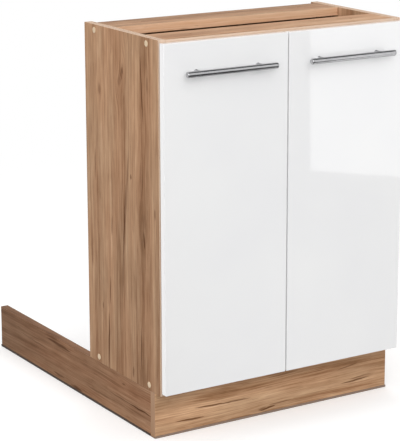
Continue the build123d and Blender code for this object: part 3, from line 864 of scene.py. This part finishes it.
LEFT_KNOTS = (
    Knot(0.7585, -0.2068, 0.0100, 0.0042, 0.85),
    Knot(0.7500, -0.2010, 0.0330, 0.0095, 0.38, -0.32),
    Knot(0.7347, -0.1929, 0.0120, 0.0070, 0.42),
    Knot(0.7069, -0.1097, 0.0150, 0.0075, 0.42),
    Knot(0.7448, -0.3076, 0.0200, 0.0045, 0.40),
    Knot(0.5422, -0.2384, 0.0075, 0.0034, 0.90),
    Knot(0.5444, -0.2798, 0.0450, 0.0070, 0.30),
    Knot(0.4587, -0.2915, 0.0250, 0.0100, 0.32),
    Knot(0.4827, -0.3349, 0.0140, 0.0045, 0.50),
    Knot(0.3500, -0.0680, 0.0480, 0.0060, 0.42),
    Knot(0.2354, -0.1126, 0.0095, 0.0038, 0.55),
    Knot(0.1210, -0.2403, 0.0150, 0.0045, 0.55),
)
LEFT_CRACKS = (
    Crack(0.800, 0.662, -0.2796, -0.2902, 0.0030, 0.75),
    Crack(0.580, 0.505, -0.0868, -0.0856, 0.0036, 0.50),
    Crack(0.605, 0.450, -0.2296, -0.2160, 0.0040, 0.42),
    Crack(0.525, 0.350, -0.2170, -0.2015, 0.0046, 0.70),
    Crack(0.385, 0.270, -0.2036, -0.1990, 0.0036, 0.42),
    Crack(0.446, 0.398, -0.1560, -0.1552, 0.0034, 0.50),
    Crack(0.310, 0.245, -0.1475, -0.1445, 0.0034, 0.52),
    Crack(0.440, 0.398, -0.2878, -0.2935, 0.0042, 0.75),
    Crack(0.230, 0.098, -0.1390, -0.1352, 0.0042, 0.75),
    Crack(0.235, 0.132, -0.2760, -0.2742, 0.0026, 0.70),
    Crack(0.520, 0.200, -0.3490, -0.3490, 0.0012, 0.45),
)
RAIL_KNOTS = (Knot(-0.2743, -0.2574, 0.0120, 0.0022, 0.50),)
SIDE_PLINTH_KNOTS = (
    Knot(-0.1971, 0.0805, 0.0090, 0.0030, 0.60),
    Knot(0.0150, 0.0080, 0.0300, 0.0046, 0.80),
    Knot(0.1300, 0.0950, 0.0400, 0.0040, 0.35),
)
SIDE_PLINTH_CRACKS = (
    Crack(0.160, 0.040, 0.0880, 0.0840, 0.0056, 0.60),
    Crack(0.130, 0.072, 0.0142, 0.0130, 0.0036, 0.55),
    Crack(-0.130, -0.240, 0.0452, 0.0445, 0.0022, 0.45),
    Crack(-0.215, -0.316, 0.0447, 0.0437, 0.0028, 0.95),
    Crack(0.300, 0.150, 0.0640, 0.0600, 0.0030, 0.35),
    Crack(-0.020, -0.140, 0.0300, 0.0280, 0.0030, 0.30),
)
FRONT_PLINTH_KNOTS = (
    Knot(-0.0330, 0.0130, 0.0130, 0.0034, 0.60, 0.20),
    Knot(0.2450, 0.0380, 0.0340, 0.0070, 0.22, 0.10),
    Knot(0.0200, 0.0880, 0.0500, 0.0060, 0.22),
)
FRONT_PLINTH_CRACKS = (
    Crack(-0.252, -0.178, 0.0262, 0.0256, 0.0030, 0.80),
    Crack(-0.205, -0.120, 0.0486, 0.0448, 0.0026, 0.80),
    Crack(-0.150, -0.062, 0.0450, 0.0446, 0.0026, 0.70),
    Crack(-0.040, 0.004, 0.0090, 0.0150, 0.0034, 0.90),
    Crack(-0.016, 0.045, 0.0180, 0.0200, 0.0024, 0.55),
    Crack(0.176, 0.256, 0.0306, 0.0330, 0.0030, 0.75),
    Crack(0.200, 0.262, 0.0362, 0.0400, 0.0022, 0.50),
    Crack(0.165, 0.222, 0.0640, 0.0716, 0.0024, 0.50),
    Crack(-0.020, 0.060, 0.0800, 0.0830, 0.0030, 0.40),
)


@dataclass
class Carcass:
    """The cabinet body: panels, bottom, rails, shelf, back and edge bands."""

    edge_radius: float = 0.3 * MM
    band_radius: float = 0.35 * MM
    panel_inside: float = 281.9 * MM
    # Painted light: shades of the rear rail's front edge. This is paler oak that also stands for light on an
    # edge that lies in shade.
    pale_and_lit_shades: Stops = ((0.25, (201, 154, 118)), (0.50, (226, 180, 143)), (0.75, (236, 197, 164)))
    # Painted shade: the rails' and panels' tones are set per board partly as painted shade, with the front
    # rail lighter and the rear rail darker. The left panel's falloff darkens it towards the floor.
    boards: tuple[Board, ...] = (
        Board("side_panel_left", "left_panel",
              Oak("oak_left_panel", Axis.Z, Axis.X, 1.0, 0.97, 0.24, LEFT_KNOTS, LEFT_CRACKS)),
        Board("side_panel_right", "right_panel", Oak("oak_right_panel", Axis.Z, Axis.X, 2.0, 0.95)),
        Board("bottom_panel", "bottom_board", Oak("oak_bottom", Axis.X, Axis.Z, 3.0)),
        Board("front_rail", "front_rail_board",
              Oak("oak_front_rail", Axis.X, Axis.Z, 4.0, 1.08, 0.0, RAIL_KNOTS), False),
        Board("rear_rail", "rear_rail_board", Oak("oak_rear_rail", Axis.X, Axis.Z, 5.0, 0.88), False, True),
        Board("shelf", "shelf_board", Oak("oak_shelf", Axis.X, Axis.Z, 6.0)),
    )
    hardboard: Mottled = Mottled("hardboard", (112, 84, 60), (146, 113, 84), (300.0, 300.0, 300.0), 0.62,
                                 0.04 * MM, 0.3)

    def build(self) -> None:
        """Builds the boards and bands, and dresses the back."""
        core = ChipCore().make()
        for board in self.boards:
            self.build_board(board, core)
        self.build_bands()
        dress_nodes(self.hardboard.make(), "back_panel")

    def build_board(self, board: Board, core: Material) -> None:
        """Builds one board, with its edges eased and its cut edges showing the core.

        Args:
            board: the board.
            core: the core's material.
        """
        shape = Shape(board.node)
        shape.ease(self.edge_radius)
        axis = board.oak.face.value
        if board.core_edges:
            shape.assign(lambda face: 0 if abs(face.normal[axis]) > FACE_SHARE else 1)
        materials = [board.oak.make(), core]
        # Painted light: the rear rail's front edge gets paler oak. It is partly a paler band and partly
        # painted light that offsets the shade between the rails.
        if board.pale_and_lit_front:
            shape.assign(lambda face: 1 if face.normal.y < -FACE_SHARE else 0)
            pale = replace(board.oak, name="oak_pale_edge", shades=self.pale_and_lit_shades, tone=1.0)
            materials[1] = pale.make()
        shape.install(board.piece, "cabinet", "oak_board", materials, board.node)

    def build_bands(self) -> None:
        """Builds the pale bands on the front edges."""
        shape = Shape("edge_bands")
        sharp = [edge for edge in shape.bm.edges if edge.calc_face_angle(0.0) > SHARP_ANGLE]
        shape.bevel(sharp, self.band_radius, SHARP_SEGMENTS)
        shape.assign(lambda face: 0 if abs(face.calc_center_median().x) > self.panel_inside else 1)
        materials = (EdgeBand().make(), EdgeBand("pale_cross_band", grain=Axis.X).make())
        shape.install("front_edge_bands", "cabinet", "edge_band", materials, "edge_bands")


@dataclass
class Plinths:
    """The front plinth and the long side plinth, with their seals."""

    edge_radius: float = 0.4 * MM
    seal_radius: float = 0.3 * MM
    # Painted shade: how much darker the plinths' top faces are than the rest of their oak.
    shaded_top_share: float = 0.78
    # Painted shade: the front plinth darkens towards the right and the side plinth towards the back. The side
    # plinth's low tone is partly its own darker oak and partly painted shade near the floor.
    front: Oak = Oak("oak_front_plinth", Axis.X, Axis.Y, 7.0, 0.95, -0.25, FRONT_PLINTH_KNOTS,
                     FRONT_PLINTH_CRACKS, (0.98, 1.03, 1.04))
    side: Oak = Oak("oak_side_plinth", Axis.Y, Axis.X, 8.0, 0.49, -0.35, SIDE_PLINTH_KNOTS,
                    SIDE_PLINTH_CRACKS, (1.0, 0.92, 0.89))
    # Painted shade: the plinth end band's shades are darkened for ends that face away from the light.
    shaded_end_band: EdgeBand = EdgeBand("plinth_end_band", ((155, 114, 79), (169, 128, 93), (178, 140, 105)))
    rubber: Mottled = Mottled("seal_rubber", (60, 48, 41), (80, 66, 57), (240.0, 240.0, 240.0), 0.7,
                              0.03 * MM, 0.3)
    clear: Mottled = Mottled("clear_seal", (122, 102, 88), (142, 120, 104), (240.0, 240.0, 240.0), 0.4,
                             0.02 * MM)

    def build(self) -> None:
        """Builds both plinths and their seals."""
        shaded_end_band = self.shaded_end_band.make()
        for node, oak in (("front_plinth", self.front), ("side_plinth", self.side)):
            shape = Shape(node)
            shape.ease(self.edge_radius)
            shape.assign(lambda face: 1 if abs(face.normal[oak.grain.value]) > FACE_SHARE
                         else 2 if face.normal.z > FACE_SHARE else 0)
            # A darker copy of the oak for the top faces, as painted shade.
            top = replace(oak, name=oak.name + "_top", tone=oak.tone * self.shaded_top_share,
                          fade=oak.fade * self.shaded_top_share)
            materials = (oak.make(), shaded_end_band, top.make())
            shape.install(node + "_board", "cabinet", "oak_board", materials, node)
        for node, seal in (("front_plinth_seal", self.clear), ("side_plinth_seal", self.rubber)):
            shape = Shape(node)
            shape.ease(self.seal_radius)
            name = node.replace("plinth_seal", "seal_strip")
            shape.install(name, "cabinet", "seal", [seal.make()], node)


@dataclass
class Door:
    """One door, with its bar handle."""

    side: Side
    panel_flat: float = 4e-4
    front: float = -370.75 * MM
    middle: float = 150.0 * MM
    bar_length: float = 216.0 * MM
    bar_y: float = -392.75 * MM
    bar_z: float = 773.0 * MM
    bar_end: Pairs = in_mm(
        (0.35, 0.0), (0.35, 3.6), (0.0, 4.1), (0.0, 5.0), (0.25, 5.5), (0.8, 5.9), (1.3, 5.98),
        (3.0, 5.98), (3.15, 5.7), (3.55, 5.7), (3.7, 5.98))
    post_spacing: float = 148.0 * MM
    post_profile: Pairs = in_mm((0.0, 0.0), (0.0, 5.5), (1.0, 5.5), (1.4, 5.1), (20.4, 5.1), (20.4, 0.0))

    def build(self) -> None:
        """Builds the panel, the bar and its posts."""
        self.build_panel()
        self.build_bar()
        self.build_posts()

    def put(self, shape: Shape, name: str, slot: str, material: Material, part: str) -> None:
        """Installs a piece on this door, for the door's own node of a part."""
        side = self.side.value
        shape.install(f"{side}_{name}", f"{side}_door", slot, [material], f"{part}_{side}")

    def build_panel(self) -> None:
        """Builds the door panel in its gloss lacquer."""
        shape = Shape(f"door_{self.side.value}")
        shape.flat_area = self.panel_flat
        self.put(shape, "door_panel", "white_gloss", WhiteGloss().make(), "door")

    def build_bar(self) -> None:
        """Builds the bar, with dished and chamfered ends and a fine ring near each end."""
        far_end = [(self.bar_length - far, radius) for far, radius in reversed(self.bar_end)]
        start = Vector((self.side.sign * self.middle - self.bar_length / 2, self.bar_y, self.bar_z))
        shape = Shape()
        shape.turn([*self.bar_end, *far_end], start, Vector((1, 0, 0)), FINE_STEPS)
        self.put(shape, "bar", "handle_steel", BrushedSteel().make(), "handle_bar")

    def build_posts(self) -> None:
        """Builds the two posts, each with a small collar on the door and its end inside the bar."""
        shape = Shape()
        for offset in (-self.post_spacing / 2, self.post_spacing / 2):
            start = Vector((self.side.sign * self.middle + offset, self.front, self.bar_z))
            shape.turn(self.post_profile, start, Vector((0, -1, 0)), ROUND_STEPS)
        steel = BrushedSteel("brushed_post_steel").make()
        self.put(shape, "bar_posts", "handle_steel", steel, "handle_posts")


@dataclass
class CoverCaps:
    """The round caps over the connecting screws, on both outer sides."""

    face: float = 300.0 * MM
    places: Pairs = in_mm((-305.75, 112.0), (-305.75, 828.0), (-90.75, 112.0), (-90.75, 828.0))
    profile: Pairs = in_mm(
        (-1.8, 0.0), (-1.8, 4.4), (-0.2, 4.6), (0.0, 4.6), (0.0, 6.4), (0.12, 6.5), (0.4, 6.3),
        (0.62, 5.6), (0.72, 4.4), (0.76, 2.6), (0.78, 0.0))
    plastic: Mottled = Mottled("cap_plastic", (214, 186, 150), (234, 208, 172), (260.0, 260.0, 260.0), 0.35,
                               0.01 * MM)

    def build(self) -> None:
        """Builds the caps of each side as one piece."""
        material = self.plastic.make()
        for side in Side:
            shape = Shape()
            for y, z in self.places:
                start = Vector((side.sign * self.face, y, z))
                shape.turn(self.profile, start, Vector((side.sign, 0, 0)), ROUND_STEPS)
            name, node = f"{side.value}_cover_caps", f"screw_caps_{side.value}"
            shape.install(name, "cabinet", "cap_plastic", [material], node)


@dataclass
class Legs:
    """The four levelling legs: ribbed tubes, sockets with gussets, and feet with a coarse thread."""

    across: float = 248.0 * MM
    depths: Pair = (-276.75 * MM, -114.75 * MM)
    tube_radius: float = 15.8 * MM
    groove_radius: float = 14.9 * MM
    bore_radius: float = 11.0 * MM
    tube_bottom: float = 34.0 * MM
    tube_top: float = 95.0 * MM
    ribs: int = 12
    rib_steps: tuple[int, ...] = (1, 1, 1, 1, 1, 0, 0, 0)
    gusset_thickness: float = 2.4 * MM
    gusset_outline: Pairs = in_mm((18.6, 82.0), (29.6, 95.0), (18.6, 95.0))
    hexagon_corner: float = 15.588 * MM
    hexagon_low: float = 5.0 * MM
    hexagon_height: float = 9.0 * MM
    hexagon_edge: float = 0.7 * MM
    base_profile: Pairs = in_mm(
        (0.0, 0.0), (0.0, 24.2), (0.8, 25.0), (3.2, 25.0), (4.6, 24.3), (5.0, 23.0), (5.0, 21.6), (4.3, 20.9),
        (4.3, 18.4), (5.0, 17.7), (5.0, 0.0))
    core_profile: Pairs = in_mm((5.0, 0.0), (5.0, 9.7), (61.0, 9.7), (62.0, 8.7), (62.0, 0.0))
    thread_section: Pairs = in_mm((9.3, 0.0), (10.9, 0.75), (10.9, 1.25), (9.3, 2.0))
    thread_start: float = 13.6 * MM
    thread_pitch: float = 3.0 * MM
    thread_turns: int = 9
    plastic: Mottled = Mottled("black_leg_plastic", (22, 22, 23), (38, 38, 39), (420.0, 420.0, 420.0), 0.42,
                               0.04 * MM)

    @property
    def places(self) -> list[Vector]:
        """The foot of each leg's axis."""
        return [Vector((side.sign * self.across, y, 0.0)) for side in Side for y in self.depths]

    def build(self) -> None:
        """Builds the tubes, the sockets and each foot."""
        material = self.plastic.make()
        self.build_tubes(material)
        self.build_sockets(material)
        bodies = [f"foot_{end}_{side.value}" for side in Side for end in ("front", "rear")]
        for body, place in zip(bodies, self.places):
            self.build_foot(body, place, material)

    def circle(self, middle: Vector, height: float, radii: Sequence[float]) -> list[Vector]:
        """Points round a vertical axis at one height, each at its own radius."""
        turns = [2 * math.pi * place / len(radii) for place in range(len(radii))]
        return [middle + Vector((radius * math.cos(turn), radius * math.sin(turn), height))
                for radius, turn in zip(radii, turns)]

    def build_tubes(self, material: Material) -> None:
        """Builds the four ribbed tubes.

        Args:
            material: their plastic.
        """
        shape = Shape()
        levels = (self.groove_radius, self.tube_radius)
        outer = [levels[step] for step in self.rib_steps * self.ribs]
        inner = [self.bore_radius] * len(outer)
        for place in self.places:
            loops = (self.circle(place, self.tube_bottom, radii) for radii in (outer, inner))
            shape.pipe(*loops, self.tube_top - self.tube_bottom)
        shape.install("ribbed_leg_tubes", "cabinet", "black_plastic", [material], "leg_tubes")

    def build_sockets(self, material: Material) -> None:
        """Builds the sockets, with four gussets under each plate.

        Args:
            material: their plastic.
        """
        shape = Shape("leg_sockets")
        shape.outwards, shape.flat_area = True, ANY_FACE
        half = self.gusset_thickness / 2
        for place in self.places:
            for quarter in range(4):
                turn = Matrix.Rotation(quarter * math.pi / 2, 3, "Z")
                outline = [place + turn @ Vector((reach, -half, z)) for reach, z in self.gusset_outline]
                shape.prism(outline, turn @ Vector((0.0, self.gusset_thickness, 0.0)))
        shape.install("leg_sockets_with_gussets", "cabinet", "black_plastic", [material], "leg_sockets")

    def build_foot(self, body: str, place: Vector, material: Material) -> None:
        """Builds one foot: a round base, a hexagon to grip, and the screw.

        Args:
            body: the foot's body.
            place: the foot of its axis.
            material: its plastic.
        """
        up = Vector((0, 0, 1))
        shape = Shape()
        hexagon = self.circle(place, self.hexagon_low, [self.hexagon_corner] * 6)
        top = shape.prism(hexagon, up * self.hexagon_height)
        rim = [edge for edge in shape.bm.edges if all(vert in top for vert in edge.verts)]
        shape.bevel(rim, self.hexagon_edge, SHARP_SEGMENTS)
        shape.turn(self.base_profile, place, up, FINE_STEPS)
        shape.turn(self.core_profile, place, up, ROUND_STEPS)
        start = place + up * self.thread_start
        shape.coil(self.thread_section, start, self.thread_pitch, self.thread_turns, THREAD_STEPS)
        shape.install(body + "_piece", body, "black_plastic", [material], "levelling_" + body)


@dataclass
class Fittings:
    """Hinges, clips, screws and the other fittings, in the shapes that the CAD gives them."""

    black: Mottled = Mottled("black_moulded_plastic", (22, 22, 23), (38, 38, 39), (420.0, 420.0, 420.0), 0.48,
                             0.04 * MM)
    soft: Mottled = Mottled("cloudy_soft_plastic", (205, 205, 203), (226, 226, 224),
                            (300.0, 300.0, 300.0), 0.3, 0.01 * MM)
    beech: Mottled = Mottled("raw_beech", (182, 142, 98), (214, 174, 128), (60.0, 700.0, 700.0), 0.6,
                             0.05 * MM, 0.3)

    def build(self) -> None:
        """Dresses every fitting."""
        dress_nodes(PlatedSteel(Plating.NICKEL).make(),
                    *of_both("hinge_plates", "hinge_arms", "hinge_cups", "hinge_pins"))
        dress_nodes(PlatedSteel(Plating.ZINC).make(),
                    *of_both("plate_screws", "arm_screws", "cup_screws", "handle_screws"),
                    "back_nails", "shelf_pins", "connecting_screws", "leg_socket_screws", "clip_screws",
                    "corner_bracket", "bracket_screws")
        dress_nodes(self.black.make(), "plinth_clips")
        dress_nodes(self.soft.make(), *of_both("door_bumpers"))
        dress_nodes(self.beech.make(), "dowels")


@dataclass(frozen=True)
class Lamp:
    """A square soft lamp: where it stands, what it faces, its size, and its radiance with 1 as white."""

    name: str
    place: Triple
    aim: Triple
    size: float
    radiance: float

    def build(self) -> None:
        """Adds the lamp."""
        light = bpy.data.lights.new(self.name, "AREA")
        light.shape = "SQUARE"
        light.size = self.size
        light.energy = self.radiance * math.pi * self.size * self.size
        holder = bpy.data.objects.new(self.name, light)
        turn = (Vector(self.place) - Vector(self.aim)).to_track_quat("Z", "Y").to_matrix().to_4x4()
        holder.matrix_world = Matrix.Translation(self.place) @ turn
        holder.visible_camera = False
        bpy.context.scene.collection.objects.link(holder)


@dataclass(frozen=True)
class Sheet:
    """A dark cloth or a bright card that only mirrors in gloss and metal, with 1 as white."""

    name: str
    level: float
    corners: tuple[Triple, ...]

    def build(self) -> None:
        """Adds the sheet."""
        nodes = Nodes(bpy.data.materials.new(self.name))
        nodes.add("ShaderNodeOutputMaterial", {}, {"Surface": nodes.shader_of("Emission", WHITE, self.level)})
        shape = Shape()
        shape.bm.faces.new([shape.bm.verts.new(corner) for corner in self.corners])
        sheet = shape.finish(self.name, nodes.owner)
        sheet.visible_camera = sheet.visible_diffuse = sheet.visible_shadow = False
        sheet.visible_transmission = sheet.visible_volume_scatter = False


@dataclass
class Studio:
    """The camera, the pale floor, the white surroundings, the lamps and what the gloss mirrors."""

    camera_place: Triple = (-2.1231, -3.4415, 1.3982)
    look_down: float = 13.62
    look_right: float = 32.46
    lens: float = 150.15
    sensor_width: float = 36.0
    shift: Pair = (-0.0428, -0.06)
    ambient: float = 0.68
    floor_radius: float = 30.0
    floor_sides: int = 96
    floor_drop: float = 0.2 * MM
    floor_greys: Stops = ((0.3, (0.78, 0.78, 0.78, 1.0)), (0.7, (0.82, 0.82, 0.82, 1.0)))
    floor_glow: float = 0.30
    white_ring: Pair = (0.9, 2.4)
    bounce_right: float = 0.62
    bounce_loss: float = 0.42
    bounce_edge: Pair = (-0.25, -0.35)
    lamps: tuple[Lamp, ...] = (
        Lamp("key_lamp", (-2.2, -4.0, 1.8), (0.0, -0.2, 0.45), 2.8, 3.2),
        Lamp("side_lamp", (-4.2, 0.2, 2.2), (-0.2, 0.0, 0.45), 2.6, 1.4),
        Lamp("front_lamp", (-1.0, -3.4, 3.3), (0.0, -0.1, 0.6), 2.6, 1.7),
        Lamp("top_lamp", (0.5, 1.3, 3.2), (0.0, -0.1, 0.8), 2.0, 1.9),
    )
    sheets: tuple[Sheet, ...] = (
        Sheet("floor_cloth", 0.10,
              ((-4.0, -0.45, 0.001), (-4.0, -8.0, 0.001), (6.4, -8.0, 0.001), (0.37, -0.45, 0.001))),
        Sheet("overhead_cloth", 0.10,
              ((-1.5, -1.3, 2.6), (3.5, -1.3, 2.6), (3.5, 2.0, 2.6), (-1.5, 2.0, 2.6))),
        Sheet("mirror_card", 1.25,
              ((1.074, -1.801, 0.136), (1.866, -1.667, 0.013),
               (1.883, -1.709, 0.813), (1.091, -1.843, 0.936))),
        Sheet("side_card", 1.7,
              ((-0.32, -0.34, 0.0012), (-1.0, -0.34, 0.0012), (-5.0, 4.9, 0.0012), (-2.4, 4.9, 0.0012))),
    )

    def build(self) -> None:
        """Sets up everything round the unit."""
        bpy.context.scene.view_settings.view_transform = "Standard"
        self.build_camera()
        self.build_world()
        self.build_floor()
        for item in (*self.lamps, *self.sheets):
            item.build()
            log.info("%s in the studio", item.name)

    def build_camera(self) -> None:
        """Adds the camera and makes it the scene's own."""
        camera = bpy.data.cameras.new("camera")
        camera.lens = self.lens
        camera.sensor_width = self.sensor_width
        camera.shift_x, camera.shift_y = self.shift
        holder = bpy.data.objects.new("camera", camera)
        holder.location = self.camera_place
        holder.rotation_euler = (math.radians(90 - self.look_down), 0.0, math.radians(-self.look_right))
        bpy.context.scene.collection.objects.link(holder)
        bpy.context.scene.camera = holder

    def build_world(self) -> None:
        """Makes the surroundings white to look at, and a plain grey light on the unit."""
        nodes = Nodes(bpy.data.worlds.new("studio"))
        bpy.context.scene.world = nodes.owner
        light, white = (nodes.shader_of("Background", WHITE, level) for level in (self.ambient, 1.0))
        mixed = nodes.shader_of("MixShader", nodes.seen(), light, white)
        nodes.add("ShaderNodeOutputWorld", {}, {"Surface": mixed})

    def build_floor(self) -> None:
        """Makes a pale floor that looks white, and keeps the unit's shadow near it."""
        shape = Shape()
        bmesh.ops.create_circle(shape.bm, cap_ends=True, segments=self.floor_sides,
                                radius=self.floor_radius)
        bmesh.ops.translate(shape.bm, verts=shape.bm.verts, vec=(0, 0, -self.floor_drop))
        nodes = Nodes(bpy.data.materials.new("pale_floor"))
        place = nodes.place()
        away = nodes.get("ShaderNodeVectorMath", {"operation": "LENGTH"}, {0: place}, "Value")
        lit = nodes.shader_of("BsdfDiffuse", nodes.ramp(nodes.noise(place), self.floor_greys))
        near = nodes.shader_of("AddShader", lit, nodes.shader_of("Emission", WHITE, self.floor_glow))
        white = nodes.shader_of("Emission", WHITE, 1.0)
        looks = nodes.shader_of("MixShader", away.step(*self.white_ring), near, white)
        level = self.bounce_right - nodes.parts(place)[0].step(*self.bounce_edge) * self.bounce_loss
        bounce = nodes.shader_of("BsdfDiffuse", nodes.vector(level, level, level))
        shown = nodes.shader_of("MixShader", nodes.seen(), bounce, looks)
        nodes.add("ShaderNodeOutputMaterial", {}, {"Surface": shown})
        floor = shape.finish("studio_floor", nodes.owner)


def main() -> None:
    """Builds the unit and its studio."""
    logging.basicConfig(level=logging.INFO, format="%(message)s")
    doors = (Door(Side.LEFT), Door(Side.RIGHT))
    for part in (Carcass(), Plinths(), *doors, CoverCaps(), Legs(), Fittings(), Studio()):
        part.build()


if __name__ == "__main__":
    main()
